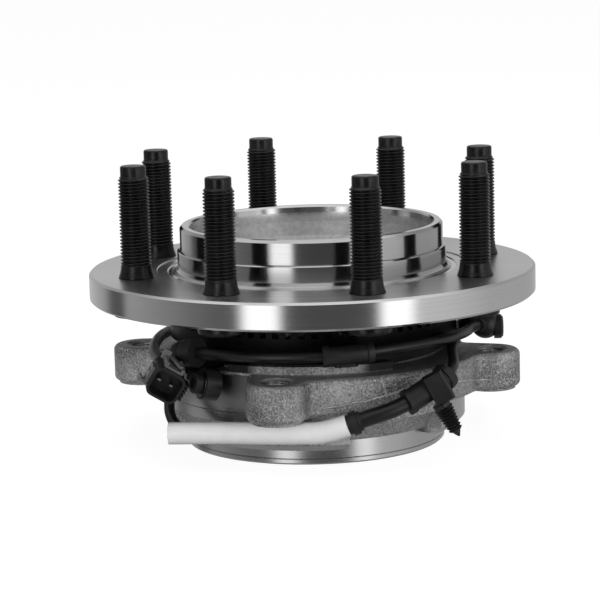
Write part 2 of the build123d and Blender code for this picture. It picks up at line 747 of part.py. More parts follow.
def left_grommet(path):
    """Makes the rubber grommet: a fat bead in front, a waist for the clamp and a smaller bead behind."""
    waist_radius = grommet_radius - grommet_waist_depth
    front = (grommet_bead - grommet_length) / 2
    rear_bead = grommet_length - grommet_bead - grommet_waist
    rear = (grommet_length - rear_bead) / 2
    grommet = sleeve_at(path, grommet_middle, 0, grommet_length, waist_radius)
    grommet += sleeve_at(path, grommet_middle, front, grommet_bead, grommet_radius)
    return grommet + sleeve_at(path, grommet_middle, rear, rear_bead, grommet_radius - 0.5)


def clamp_share(path):
    """Gives the share of the lead's length at the middle of the grommet's waist."""
    offset_along = grommet_bead + grommet_waist / 2 - grommet_length / 2
    return share_near(path, grommet_middle) + offset_along / path.length


def bead_space(path, offset, length, radius):
    """Makes the room that a bead of the grommet takes, with a gap all round."""
    total = path.length
    start = share_near(path, grommet_middle) + (offset - length / 2 - clamp_gap) / total
    return tube_on(path, start, start + (length + 2 * clamp_gap) / total, radius + clamp_gap, 0)


def eyelet_bracket(path):
    """Makes the clamp in the grommet's waist, the bent strap and the eyelet below."""
    share = clamp_share(path)
    middle = path @ share
    heading = (path % share).normalized()
    width = grommet_waist - 2 * clamp_gap
    waist_radius = grommet_radius - grommet_waist_depth + clamp_gap
    clamp_plane = Plane(origin=middle - heading * (width / 2), z_dir=heading)
    clamp_ring = extrude(clamp_plane * (Circle(waist_radius + clamp_wall) - Circle(waist_radius)), width)
    axis = eyelet_axis.normalized()
    half = axis * (eyelet_length / 2)
    eyelet = extrude(facing(eyelet_middle - half, eyelet_axis) * Circle(eyelet_radius), eyelet_length)
    drop = eyelet_middle - middle
    down = (drop - heading * drop.dot(heading)).normalized()
    depth = grommet_radius + clamp_gap + strap_width / 2
    elbow = middle + down * depth
    leg = extrude(Plane(origin=middle, x_dir=heading, z_dir=down) * Rectangle(width, strap_thickness), depth)
    leg -= extrude(clamp_plane * Circle(waist_radius), 2 * grommet_length, both=True)
    along = eyelet_middle - elbow
    arm_plane = Plane(origin=elbow, x_dir=along.cross(Vector(0, 0, 1)), z_dir=along)
    arm = extrude(arm_plane * Rectangle(strap_thickness, strap_width), along.length)
    arm -= extrude(
        facing(eyelet_middle + half, eyelet_axis) * Circle(bushing_flange_radius + clamp_gap), 2 * eyelet_length
    )
    strap = clamp_ring + leg + arm
    strap -= bead_space(path, (grommet_bead - grommet_length) / 2, grommet_bead, grommet_radius)
    rear_bead = grommet_length - grommet_bead - grommet_waist
    strap -= bead_space(path, (grommet_length - rear_bead) / 2, rear_bead, grommet_radius - 0.5)
    hole = extrude(facing(eyelet_middle - half * 2, eyelet_axis) * Circle(bushing_radius), 2 * eyelet_length)
    return strap + eyelet - hole


def eyelet_bushing():
    """Makes the metal sleeve in the eyelet, with a thin flange against the eyelet's front."""
    half = eyelet_axis.normalized() * (eyelet_length / 2)
    back = facing(eyelet_middle - half, eyelet_axis)
    front = facing(eyelet_middle + half, eyelet_axis)
    sleeve = extrude(back * (Circle(bushing_radius) - Circle(bushing_bore)), eyelet_length)
    collar = Circle(bushing_flange_radius) - Circle(bushing_bore)
    return sleeve + extrude(front * collar, bushing_flange_thickness)


def eyelet_nose():
    """Makes the rubber spacer in front of the bushing's flange."""
    front = eyelet_middle + eyelet_axis.normalized() * (eyelet_length / 2 + bushing_flange_thickness)
    nose = extrude(facing(front, eyelet_axis) * (Circle(nose_radius) - Circle(bushing_bore)), nose_length)
    outer = nose.edges().filter_by(GeomType.CIRCLE).filter_by(lambda e: e.radius > nose_radius - 0.1)
    far = max(outer, key=lambda e: (e.arc_center - front).length)
    return fillet([far], 0.8)


def clip_grommet(path):
    """Makes the rubber body on the lead beside the fir-tree clip, with its flange at the upper end."""
    start = share_near(path, body_start)
    end = share_near(path, body_end)
    total = path.length
    inner = cable_radius + sleeve_gap
    body = tube_on(path, start, end, body_radius - 0.5, inner)
    body += tube_on(path, start, start + 2.6 / total, body_radius, inner)
    return body + tube_on(path, end - 2.6 / total, end, body_flange_radius, inner)


def fir_tree_clip(path):
    """Makes the block that grips the body and the stem with its rows of fins."""
    block_x, block_y, block_z = fir_block
    frame = Plane(origin=fir_base, x_dir=(1, 0, 0.53), z_dir=fir_axis)
    block = Box(block_x, block_y, block_z, align=(Align.CENTER, Align.CENTER, Align.MAX))
    block = fillet(block.edges().filter_by(Axis.Z), 1.0)
    stem_length = fir_fin_count * fir_fin_pitch + 2.6
    collar = Cylinder(fir_fin_radius - 0.4, 1.6, align=(Align.CENTER, Align.CENTER, Align.MIN))
    stem = Cylinder(fir_stem_radius, stem_length, align=(Align.CENTER, Align.CENTER, Align.MIN))
    tip = Pos(0, 0, stem_length) * Cone(
        fir_stem_radius, 0.4, 2.2, align=(Align.CENTER, Align.CENTER, Align.MIN)
    )
    tree = collar + stem + tip
    for i in range(fir_fin_count):
        shrink = 0.16 * i
        tree += Pos(0, 0, 2.6 + i * fir_fin_pitch) * Cone(
            fir_fin_radius - shrink, fir_fin_radius - shrink - 0.7, fir_fin_thickness,
            align=(Align.CENTER, Align.CENTER, Align.MIN)
        )
    clip = frame * (block + Pos(fir_stem_offset, 0, 0) * tree)
    start = share_near(path, body_start)
    end = share_near(path, body_end)
    return clip - tube_on(path, start, end, body_flange_radius + sleeve_gap, 0)


def white_sleeve(path):
    """Makes the white tube: straight where the lead slips in behind it, then along the lead."""
    joint = share_near(path, white_sleeve_joins)
    end = share_near(path, white_sleeve_end)
    inner = white_sleeve_radius - white_sleeve_wall
    lead_part = tube_on(path, joint, end, white_sleeve_radius, inner)
    meeting = path @ joint
    heading = (path % joint).normalized()
    reach = (white_sleeve_start - meeting).length
    straight = FilletPolyline(
        white_sleeve_start, meeting - heading * (reach * 0.4), meeting, radius=3 * white_sleeve_radius
    )
    free_part = tube_on(straight, 0, 1, white_sleeve_radius, inner)
    entry = tube_on(path, joint - 1.15 * reach / path.length, joint, cable_radius + 2 * sleeve_gap, 0)
    return lead_part + (free_part - entry)


def lead_sleeves(path):
    """Makes the black tube beyond the white sleeve and the band over their joint."""
    total = path.length
    end = share_near(path, white_sleeve_end)
    inner = cable_radius + sleeve_gap
    band_end = end + band_length / total
    band = tube_on(path, end, band_end, white_sleeve_radius - 0.5, stiffener_radius)
    band += tube_on(path, end + 1.6 / total, band_end - 1.6 / total, band_radius, stiffener_radius)
    body = share_near(path, body_start)
    rod = tube_on(path, end - 9.0 / total, body - 0.2 / total, stiffener_radius, inner)
    return band, rod


def plug_frame():
    """Gives the connector's frame: Z out of its mouth, X along its pins."""
    across = plug_across - plug_axis * (plug_across.dot(plug_axis) / plug_axis.dot(plug_axis))
    return Plane(origin=plug_face, x_dir=across, z_dir=plug_axis.normalized())


def connector_housing():
    """Makes the rounded housing with its socket, the narrower rear and the boot for the lead."""
    mouth = extrude(RectangleRounded(plug_width, plug_height, plug_corner), -plug_length)
    socket = RectangleRounded(plug_width - 2 * plug_wall, plug_height - 2 * plug_wall, plug_corner - plug_wall)
    mouth -= extrude(socket, -plug_cavity_depth)
    rear_start = -plug_length
    rear = extrude(
        Pos(0, 0, rear_start) * RectangleRounded(plug_rear_size, plug_rear_size, plug_corner), -plug_rear_length
    )
    boot_start = rear_start - plug_rear_length
    end = (Vector(*cable_points[-1]) - plug_face).length - sleeve_gap
    boot = Pos(0, 0, boot_start) * Cylinder(
        plug_boot_radius, end + boot_start, align=(Align.CENTER, Align.CENTER, Align.MAX)
    )
    slots = [
        Pos(side * pin_spacing / 2, 0, -plug_cavity_depth) * Box(
            pin_width, pin_thickness, pin_root, align=(Align.CENTER, Align.CENTER, Align.MAX)
        )
        for side in (-1, 1)
    ]
    return plug_frame() * (mouth + housing_ribs() + rear + boot - slots)


def connector_pins():
    """Makes the two blades that stand in the socket."""
    return [
        plug_frame() * Pos(side * pin_spacing / 2, 0, -plug_cavity_depth - pin_root) * Box(
            pin_width, pin_thickness, pin_length + pin_root, align=(Align.CENTER, Align.CENTER, Align.MIN)
        )
        for side in (-1, 1)
    ]


def connector_lock():
    """Makes the rails, slanted arm and thumb plate on top of the housing, and the clip at its side."""
    top = plug_height / 2
    side = -plug_width / 2
    rail_x = plug_width / 2 - plug_corner
    length = plug_length - lock_start
    rail = Box(lock_rail_width, lock_rail_height, length, align=(Align.CENTER, Align.MIN, Align.MAX))
    deck = Box(2 * rail_x, 1.0, length, align=(Align.CENTER, Align.MIN, Align.MAX))
    lock = Pos(0, top, -lock_start) * deck
    lock += Pos(-rail_x, top, -lock_start) * rail + Pos(rail_x, top, -lock_start) * rail
    arm = Rot(0, lock_arm_turn, 0) * Box(
        lock_arm_width, 1.1, 0.8 * length, align=(Align.CENTER, Align.MIN, Align.CENTER)
    )
    lock += Pos(0.4, top + lock_rail_height - 0.4, -lock_start - length / 2) * arm
    thumb = Box(thumb_width, thumb_height, 1.4, align=(Align.MAX, Align.MIN, Align.MAX))
    lock += Pos(-rail_x + 1.2, top, -plug_length + 2.4) * thumb
    clip = Pos(side, 0, -lock_start) * Box(
        clip_plate, 0.62 * plug_height, 0.6 * length, align=(Align.MAX, Align.CENTER, Align.MAX)
    )
    for notch in (-1, 1):
        clip -= Pos(side - clip_plate / 2, 2.0 * notch, -lock_start - 0.12 * length) * Box(
            2 * clip_plate, 1.6, 0.3 * length, align=(Align.CENTER, Align.CENTER, Align.MAX)
        )
    tab = Box(3.6, 1.2, 3.4, align=(Align.MAX, Align.CENTER, Align.MAX))
    foot = Box(1.1, 2.6, 3.4, align=(Align.MAX, Align.CENTER, Align.MAX))
    clip += Pos(side, -0.31 * plug_height + 0.6, -lock_start - 1.0) * tab
    clip += Pos(side - 3.0, -0.31 * plug_height + 0.9, -lock_start - 1.0) * foot
    return plug_frame() * lock, plug_frame() * clip


def housing_ribs():
    """Makes the comb of grip ribs at the right side of the housing."""
    side = plug_width / 2
    length = 0.5 * plug_length
    comb = []
    for i in range(rib_count):
        y = plug_corner - plug_height / 2 + i * rib_pitch
        comb.append(Pos(side - 0.3, y, -lock_start) * Box(
            rib_reach + 0.3, rib_thickness, length, align=(Align.MIN, Align.CENTER, Align.MAX)
        ))
    return comb


def write(name, *solids):
    """Writes one node, as one or more separate solids."""
    flat = []
    for piece in solids:
        flat.extend(piece.solids())
    shape = flat[0] if len(flat) == 1 else Compound(children=flat)
    shape.label = name
    export_step(shape, f"parts/{name}.step")


def write_hub():
    write("hub_flange", wheel_flange())
    stud = wheel_stud()
    write("wheel_studs", *[Pos(p.X, p.Y, 0) * stud for p in stud_places()])
    write("tone_ring", tone_ring())
    write("inner_ring_outboard", inner_ring(shoulder_z, False))
    write("inner_ring_inboard", inner_ring(mirrored_z(inboard_stop_z), True))


def write_bearing():
    for name, flip in (("outboard", False), ("inboard", True)):
        write(f"{name}_rollers", *rollers(0, flip))
        write(f"{name}_cage", cage(flip))
        case, lip, slinger = seal_pieces(flip)
        write(f"{name}_seal_case", case)
        write(f"{name}_seal_lip", lip)
        write(f"{name}_slinger", slinger)
    write("outer_ring", outer_ring())


def write_sensor():
    write("sensor_carrier_ring", carrier_ring())
    write("wheel_speed_sensor", speed_sensor())
    write("sensor_o_ring", sensor_o_ring())
    write("sensor_screw", sensor_screw())


def write_harness():
    path, radii = cable_path()
    print("lead length", round(path.length, 1), "radii", [round(r, 1) for r in radii])
    cable = tube_on(path, 0, 1, cable_radius, 0)
    print("lead volume", cable.volume, "section times length", math.pi * cable_radius**2 * path.length)
    write("harness_cable", cable)
    write("cable_sleeve_clip", sleeve_clip(path))
    write("left_grommet", left_grommet(path))
    write("bracket_eyelet", eyelet_bracket(path))
    write("brass_bushing", eyelet_bushing())
    write("eyelet_nose", eyelet_nose())
    write("clip_grommet", clip_grommet(path))
    write("fir_tree_clip", fir_tree_clip(path))
    write("protective_sleeve", white_sleeve(path))
    band, rod = lead_sleeves(path)
    write("retainer_band", band)
    write("cable_stiffener", rod)
    write("connector_housing", connector_housing())
    write("connector_pins", *connector_pins())
    write("connector_lock", *connector_lock())


os.makedirs("parts", exist_ok=True)
write_hub()
write_bearing()
write_sensor()
write_harness()
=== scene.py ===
import math
import random

import bmesh
import bpy
from mathutils import Matrix, Vector
from mathutils.bvhtree import BVHTree


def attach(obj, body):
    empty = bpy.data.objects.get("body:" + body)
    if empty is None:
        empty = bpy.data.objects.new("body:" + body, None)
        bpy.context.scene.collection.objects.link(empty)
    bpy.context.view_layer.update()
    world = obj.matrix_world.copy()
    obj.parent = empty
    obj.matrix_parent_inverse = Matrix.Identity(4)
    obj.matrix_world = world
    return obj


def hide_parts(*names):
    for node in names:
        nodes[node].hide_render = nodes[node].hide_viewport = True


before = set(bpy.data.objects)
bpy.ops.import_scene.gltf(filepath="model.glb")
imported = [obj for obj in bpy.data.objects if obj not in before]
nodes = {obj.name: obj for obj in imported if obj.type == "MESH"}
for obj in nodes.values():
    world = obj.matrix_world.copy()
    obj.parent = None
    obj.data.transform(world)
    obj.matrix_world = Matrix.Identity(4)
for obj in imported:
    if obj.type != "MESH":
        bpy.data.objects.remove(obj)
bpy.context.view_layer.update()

# Sizes are in metres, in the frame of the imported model: Z is the axle line, and +Z points to the wheel.
MM = 0.001
FLANGE_FACE = 80.0975 * MM
FLANGE_BACK = 67.5975 * MM

# The studs: eight on one circle, with a rolled M14 x 1.5 thread between a flared collar and a plain tip.
STUD_CIRCLE = 82.55 * MM
STUD_PHASE = -73.81
STUD_COUNT = 8
STUD_SPIN = 1.7
STUD_TOP = 130.7975 * MM
STUD_STEPS = 40
THREAD_PITCH = 1.5 * MM
THREAD_RADIUS = 7.0 * MM
THREAD_DEPTH = 0.92 * MM
THREAD_UNDERSIZE = 0.02 * MM
THREAD_START = FLANGE_FACE + 5.7 * MM
THREAD_END = STUD_TOP - 4.85 * MM
# The thread starts at this share of its depth, and reaches all of it over this height.
THREAD_FIRST = 0.15
THREAD_FADE = 0.8 * MM
# Shares of half a turn that the flat root and the flank take.
STUD_FLANK = (0.10, 0.72)
ROWS_PER_TURN = 8
TIP_RADIUS = 5.8 * MM
TIP_CONE_STEP = 0.15 * MM
TIP_CONE_SLOPE = 0.8

# A stud's profiles as (radius, height) in millimetres: heights count from the flange's back, from its face,
# and from the stud's top.
HEAD_PROFILE = [(9.9, -5.0), (10.45, -4.8), (10.7, -4.3), (10.7, -0.2), (10.5, -0.01), (7.3, -0.01)]
COLLAR_PROFILE = [
    (7.3, -1.0), (7.95, -0.2), (8.05, 0.3), (7.9, 0.9), (7.5, 2.0), (7.2, 3.1), (7.02, 4.2), (6.95, 5.4),
]
TIP_PROFILE = [(5.8, -4.6), (5.8, -0.8), (5.66, -0.35), (5.25, -0.06), (4.4, 0.0), (2.0, -0.12)]

# The threads in the four ear holes.
HOLE_CIRCLE = 82.0 * MM
HOLE_PHASE = -12.0
HOLE_COUNT = 4
HOLE_STEPS = 36
HOLE_ROWS_PER_TURN = 6
HOLE_RADIUS = 6.25 * MM
HOLE_CREST = 0.62 * MM
HOLE_DEPTH = 0.60 * MM
HOLE_FLANK = (0.10, 0.75)
HOLE_BITE = 0.05 * MM
HOLE_LOW = 25.9 * MM
HOLE_HIGH = 41.3 * MM

# Mould lines on the casting: stops as (azimuth in degrees, height in mm), and the width in mm.
FLASH_LINES = [
    # the crease on the web
    ([(-67.4, 32.4), (-67.7, 34.5), (-68.5, 37.9), (-69.0, 40.4), (-69.3, 42.0)], 1.35),
    # the seam from the front ear along the web
    ([(-88.0, 29.7), (-79.4, 31.2), (-70.9, 32.9), (-62.6, 34.7), (-54.9, 36.9)], 1.25),
    # the seam towards the right ear
    ([(-43.0, 34.6), (-36.0, 33.6), (-30.0, 32.4), (-20.0, 30.0)], 1.0),
    # the seam on the left ear
    ([(-167.2, 31.1), (-158.0, 33.2), (-148.0, 36.0)], 0.60),
]
FLASH_SEED = 4
FLASH_STEPS = 14
FLASH_ENDS = 4
# A ridge's cross-section, as shares of its half width and of its rise.
FLASH_SECTION = [(-1.0, -0.3), (-0.5, 0.55), (0.0, 1.0), (0.5, 0.6), (1.0, -0.3)]
RAY_START = 0.12

# The lead, and the points of its curve in millimetres, from the sensor to the connector.
CABLE_RADIUS = 2.4 * MM
ROUTE = [
    (75.2, -8.4, 51.45), (71.5, -16, 52.0), (69, -30, 52.8), (61.5, -45, 53.2),
    (52, -56.5, 53.4), (39, -66, 53.3), (25, -72, 52.8), (8.5, -75.8, 52.0),
    (-9, -76.2, 51.7), (-25, -72.3, 51.5), (-40, -65, 51.4), (-50.5, -56.6, 51.2),
    (-58.6, -49.6, 50.0), (-63.4, -45.0, 44.6), (-64.6, -43.4, 36.8), (-65.2, -45.2, 29.2),
    (-65.2, -50.6, 22.0), (-61.0, -57.6, 17.4), (-52.4, -63.8, 17.4), (-41.0, -69.4, 18.0),
    (-27, -74.6, 18.3), (-12, -78.8, 18.9), (2, -82.5, 19.5), (12, -85.2, 22.8),
    (22, -85.4, 26.4), (31, -83.6, 28.6), (38.5, -81.0, 31.2), (47, -78.0, 35.7),
    (55.8, -74.8, 40.8), (60.2, -68, 44.4), (61, -58.5, 46.2), (60.8, -49.5, 46.4),
    (61.4, -40.5, 47.9), (62.8, -31, 50.2), (64.2, -19.5, 46.7), (64.9, -4.5, 45.0),
    (61.2, 22.3, 45.1), (46.8, 45.2, 45.0), (24.4, 60.4, 45.1), (-2.3, 65.1, 45.0),
    (-28.5, 58.5, 45.1), (-52.5, 44.5, 46.6), (-63.4, 30.5, 47.6), (-68.2, 15.0, 47.9),
    (-71.0, 1.5, 48.4), (-72.3, -11.5, 48.0), (-73.0, -25.5, 46.8), (-68.37, -41.52, 44.95),
    (-67.47, -50.38, 43.64),
]

# Where a material's zones begin and end, in millimetres: each pair is a soft step along one coordinate.
END_RING_TOP = (10.5, 10.8)
BARREL_INSIDE = (68.7, 68.9)
BARREL_OUTSIDE = (70.1, 70.3)
BARREL_TOP = (41.2, 41.5)
BARREL_RIGHT = (57, 59)
BARREL_LEFT = (-30, -27)
BARREL_BACK = (0, 2)
# The upper barrel takes painted shade.
BARREL_SHADE = (23, 36)
BARREL_SHADE_TOP = (42.0, 42.4)
NECK_FOOT = (42.9, 43.3)
NECK_OUTSIDE = (59.9, 60.2)
# The shelf's limits: painted shade darkens it.
SHELF_TOP = (42.3, 42.6)
SHELF_INSIDE = (60.2, 60.4)
SHELF_RIGHT = (16, 24)
SHELF_LEFT = (-30, -24)
# The ear tops' limits: painted shade darkens them.
EAR_TOP = (41.7, 42.3)
EAR_INSIDE = (71, 72.5)
FOOT_LEFT = (49, 59)
FOOT_TOP = (24, 25)
FOOT_OUTSIDE = (72, 73)
CUP_OUTSIDE = (55.0, 55.5)
CUP_FLOOR = (60, 61)
CUP_TOP = (97.0, 97.4)
PILOT_INSIDE = (58.6, 59.2)
PILOT_OUTSIDE = (63.9, 64.2)
PILOT_FOOT = (80.3, 80.6)
FACE_FOOT = (79.2, 79.4)

# The camera, fitted to the photograph: place in mm, angles in degrees, lens and sensor in mm.
CAMERA_PLACE = (-5.9, -1137.3, 260.46)
CAMERA_DOWN = 9.8075
CAMERA_ROLL = -1.4337
CAMERA_LENS = 150.13
SENSOR_WIDTH = 36.0

# Light. Brightnesses are strengths, where 1 is white.
FLOOR_SIZE = 14
FLOOR_SHADE = 0.34
FLOOR_GLOW = 0.88
BACKGROUND = 1.0
AMBIENT = 0.30
MIRRORED_RISE = 0.40
MIRRORED_OVERHEAD = 1.0
MIRRORED_BELOW = 0.32
# Where one mirrored level passes into the next, as the height of the ray's direction.
PANELS_TOP = (0.35, 0.50)
OVERHEAD_START = (0.60, 0.85)
BELOW_START = (0.25, 0.45)
LAMP_TARGET = (0, 0, 0.07)
LAMP_DISTANCE = 1.5
# Each lamp: name, azimuth and elevation in degrees (azimuth 0 is the camera's side, 90 is the right), size
# in metres and power in watts.
LAMPS = [
    ("left_panel", -14, 6, (0.4, 0.4), 13),
    ("right_panel", 46, 6, (0.5, 0.4), 6.5),
    ("top_panel", 10, 80, (1.2, 1.2), 5),
]
# What polished metal mirrors: soft panels and dark gaps round the studio, as (azimuth, brightness).
BRIGHTEST = 1.8
PANELS = [
    (-180, 0.60), (-145, 0.50), (-134, 0.42), (-124, 0.12), (-114, 0.10), (-109, 0.42), (-92, 0.34),
    (-60, 0.18), (-39, 0.10), (-34, 1.8), (-19, 1.8), (-15, 0.10), (0, 0.08), (22, 0.08), (31, 0.10),
    (36, 1.8), (49, 1.8), (54, 0.75), (75, 0.70), (100, 0.50), (155, 0.45), (180, 0.60),
]


def make_camera():
    data = bpy.data.cameras.new("camera")
    cam = bpy.data.objects.new("camera", data)
    bpy.context.scene.collection.objects.link(cam)
    cam.location = tuple(c * MM for c in CAMERA_PLACE)
    tilt = Matrix.Rotation(math.radians(90 - CAMERA_DOWN), 4, "X")
    roll = Matrix.Rotation(math.radians(CAMERA_ROLL), 4, "Z")
    cam.matrix_world = Matrix.Translation(cam.location) @ tilt @ roll
    data.sensor_width = SENSOR_WIDTH
    data.lens = CAMERA_LENS
    data.clip_start = 0.05
    data.clip_end = 60
    bpy.context.scene.camera = cam


class Graph:
    """A short way to wire a material's nodes."""

    def __init__(self, name):
        self.mat = bpy.data.materials.new(name)
        self.mat.use_nodes = True
        self.tree = self.mat.node_tree
        self.bsdf = self.tree.nodes["Principled BSDF"]
        self.coords = self.add("ShaderNodeTexCoord").outputs["Object"]

    def add(self, kind, **settings):
        node = self.tree.nodes.new(kind)
        for key, value in settings.items():
            setattr(node, key, value)
        return node

    def link(self, source, target):
        self.tree.links.new(source, target)

    def put(self, value, socket):
        """Sets a socket to a number or colour, or links a node's output to it."""
        if isinstance(value, (int, float, tuple)):
            socket.default_value = value
        else:
            self.link(value, socket)

    def math(self, operation, a, b=0.0):
        node = self.add("ShaderNodeMath", operation=operation)
        self.put(a, node.inputs[0])
        self.put(b, node.inputs[1])
        return node.outputs[0]

    def times(self, first, *others):
        for other in others:
            first = self.math("MULTIPLY", first, other)
        return first

    def plus(self, a, b):
        return self.math("ADD", a, b)

    def most(self, first, *others):
        for other in others:
            first = self.math("MAXIMUM", first, other)
        return first

    def remap(self, value, low, high, to_low=0.0, to_high=1.0, smooth=False):
        node = self.add("ShaderNodeMapRange", clamp=True)
        if smooth:
            node.interpolation_type = "SMOOTHSTEP"
        self.put(value, node.inputs["Value"])
        for name, v in (("From Min", low), ("From Max", high), ("To Min", to_low), ("To Max", to_high)):
            self.put(v, node.inputs[name])
        return node.outputs[0]

    def past(self, value, limits, smooth=False):
        """1 past the limits (in mm), 0 before them."""
        return self.remap(value, limits[0] * MM, limits[1] * MM, smooth=smooth)

    def before(self, value, limits):
        """1 before the limits (in mm), 0 past them."""
        return self.remap(value, limits[0] * MM, limits[1] * MM, 1.0, 0.0)

    def noise(self, scale, detail=4.0, rough=0.55):
        node = self.add("ShaderNodeTexNoise")
        node.inputs["Scale"].default_value = scale
        node.inputs["Detail"].default_value = detail
        node.inputs["Roughness"].default_value = rough
        self.link(self.coords, node.inputs["Vector"])
        return node.outputs["Fac"]

    def cells(self, scale):
        node = self.add("ShaderNodeTexVoronoi")
        node.inputs["Scale"].default_value = scale
        self.link(self.coords, node.inputs["Vector"])
        return node.outputs["Distance"]

    def mix(self, factor, a, b):
        """Mixes two colours."""
        node = self.add("ShaderNodeMix", data_type="RGBA")
        self.put(factor, node.inputs["Factor"])
        self.put(a, node.inputs[6])
        self.put(b, node.inputs[7])
        return node.outputs[2]

    def blend(self, factor, a, b):
        """Mixes two numbers."""
        node = self.add("ShaderNodeMix", data_type="FLOAT")
        self.put(factor, node.inputs["Factor"])
        self.put(a, node.inputs[2])
        self.put(b, node.inputs[3])
        return node.outputs[0]

    def vector_mix(self, factor, a, b):
        node = self.add("ShaderNodeMix", data_type="VECTOR")
        self.put(factor, node.inputs["Factor"])
        self.link(a, node.inputs[4])
        self.link(b, node.inputs[5])
        return node.outputs[1]

    def split(self):
        node = self.add("ShaderNodeSeparateXYZ")
        self.link(self.coords, node.inputs[0])
        return node.outputs

    def radius(self):
        """Distance from the axle line, in metres."""
        x, y, _ = self.split()
        return self.math("SQRT", self.plus(self.times(x, x), self.times(y, y)))

    def turned(self, spread=9000.0):
        """Noise stretched along the turning direction: fine grooves round the axle line."""
        x, y, z = self.split()
        combine = self.add("ShaderNodeCombineXYZ")
        self.link(self.times(self.radius(), spread), combine.inputs[0])
        self.link(self.times(z, spread), combine.inputs[1])
        self.link(self.times(self.math("ARCTAN2", y, x), 0.8), combine.inputs[2])
        node = self.add("ShaderNodeTexNoise")
        node.inputs["Scale"].default_value = 1.0
        node.inputs["Detail"].default_value = 3.0
        self.link(combine.outputs[0], node.inputs["Vector"])
        return node.outputs["Fac"]

    def bump(self, height, distance, strength=1.0, previous=None):
        """Raises the surface by a height map; the distance is in mm."""
        node = self.add("ShaderNodeBump")
        node.inputs["Distance"].default_value = distance * MM
        node.inputs["Strength"].default_value = strength
        self.link(height, node.inputs["Height"])
        if previous is not None:
            self.link(previous, node.inputs["Normal"])
        return node.outputs["Normal"]

    def round_tangent(self):
        """Lays the surface's direction along the turning marks, round the axle line, at every pose."""
        x, y, _ = self.split()
        combine = self.add("ShaderNodeCombineXYZ")
        self.link(self.times(y, -1.0), combine.inputs[0])
        self.link(x, combine.inputs[1])
        turn = self.add(
            "ShaderNodeVectorTransform", vector_type="VECTOR", convert_from="OBJECT", convert_to="WORLD"
        )
        self.link(combine.outputs[0], turn.inputs[0])
        self.link(turn.outputs[0], self.bsdf.inputs["Tangent"])

    def finish(self, color, rough, metallic, normal, **sockets):
        self.put(color, self.bsdf.inputs["Base Color"])
        self.put(rough, self.bsdf.inputs["Roughness"])
        self.put(metallic, self.bsdf.inputs["Metallic"])
        self.link(normal, self.bsdf.inputs["Normal"])
        for name, value in sockets.items():
            self.bsdf.inputs[name.replace("_", " ")].default_value = value
        return self.mat


def grey(value):
    return (value, value, value, 1.0)


def iron_machined(g, x, y, z, r):
    """1 where the casting is turned smooth: end ring, neck, the barrel's open parts and the right foot."""
    low = g.before(z, END_RING_TOP)
    neck = g.times(g.past(z, NECK_FOOT), g.before(r, NECK_OUTSIDE))
    open_parts = g.most(g.past(x, BARREL_RIGHT), g.before(x, BARREL_LEFT), g.past(y, BARREL_BACK))
    barrel = g.times(
        g.past(r, BARREL_INSIDE), g.before(r, BARREL_OUTSIDE), g.before(z, BARREL_TOP), open_parts
    )
    foot = g.times(g.past(x, FOOT_LEFT, smooth=True), g.before(z, FOOT_TOP), g.before(r, FOOT_OUTSIDE))
    return g.most(low, neck, barrel, foot)


def cast_iron():
    """Sand-cast skin, with the turned end ring, barrel and neck machined smooth."""
    g = Graph("cast_iron")
    x, y, z = g.split()
    r = g.radius()
    grain = g.noise(950, 4.0, 0.7)
    coarse = g.noise(420, 4.0, 0.6)
    blotch = g.noise(40, 3.0, 0.6)
    pits = g.remap(g.cells(1700), 0.05, 0.5)
    painted_glint = g.remap(g.noise(1700, 2.0, 0.5), 0.56, 0.66)
    grooves = g.turned()
    machined = iron_machined(g, x, y, z, r)

    # The cast skin: grain and blotches, with painted glints, and painted shade darkening the shelf and the
    # tops of the ears.
    tone = g.plus(g.times(grain, 0.55), g.times(blotch, 0.45))
    cast = g.mix(g.remap(tone, 0.40, 0.60), grey(0.14), grey(0.56))
    # Painted glints: bright specks in the colour stand in for sparkle on the grain.
    cast = g.mix(g.times(painted_glint, 0.7), cast, grey(0.85))
    # Painted shade: the rib's shelf beside the neck is darkened to near black where shadow falls.
    shelf_painted_shade = g.times(g.past(z, SHELF_TOP), g.past(r, SHELF_INSIDE))
    shelf_painted_shade = g.times(shelf_painted_shade, g.most(g.past(x, SHELF_RIGHT), g.before(x, SHELF_LEFT)))
    cast = g.mix(shelf_painted_shade, cast, grey(0.03))
    # Painted shade: the ears' tops, shadowed by the flange above, are darkened; they are also made less
    # metallic.
    ear_tops_painted_shade = g.times(g.past(z, EAR_TOP), g.past(r, EAR_INSIDE))
    cast = g.mix(g.times(ear_tops_painted_shade, 0.75), cast, grey(0.06))
    height = g.plus(g.times(grain, 0.8), g.times(coarse, 0.6))
    height = g.plus(height, g.times(pits, 0.3))

    # The turned skin, duller up the barrel, with painted shade darkening it towards the flange above.
    upper_barrel_painted_shade = g.past(z, BARREL_SHADE, smooth=True)
    turned = g.mix(g.remap(grooves, 0.25, 0.75), grey(0.46), grey(0.54))
    turned = g.mix(g.times(upper_barrel_painted_shade, g.before(z, BARREL_SHADE_TOP)), turned, grey(0.22))
    turned_rough = g.plus(g.remap(grooves, 0.3, 0.7, 0.22, 0.30), g.times(upper_barrel_painted_shade, 0.18))

    color = g.mix(machined, cast, turned)
    rough = g.blend(machined, g.remap(coarse, 0.3, 0.7, 0.32, 0.46), turned_rough)
    metal_share = g.blend(machined, g.blend(ear_tops_painted_shade, 0.85, 0.1), 1.0)
    surface = g.vector_mix(machined, g.bump(height, 0.36), g.bump(grooves, 0.004, 0.25))
    return g.finish(color, rough, metal_share, surface)


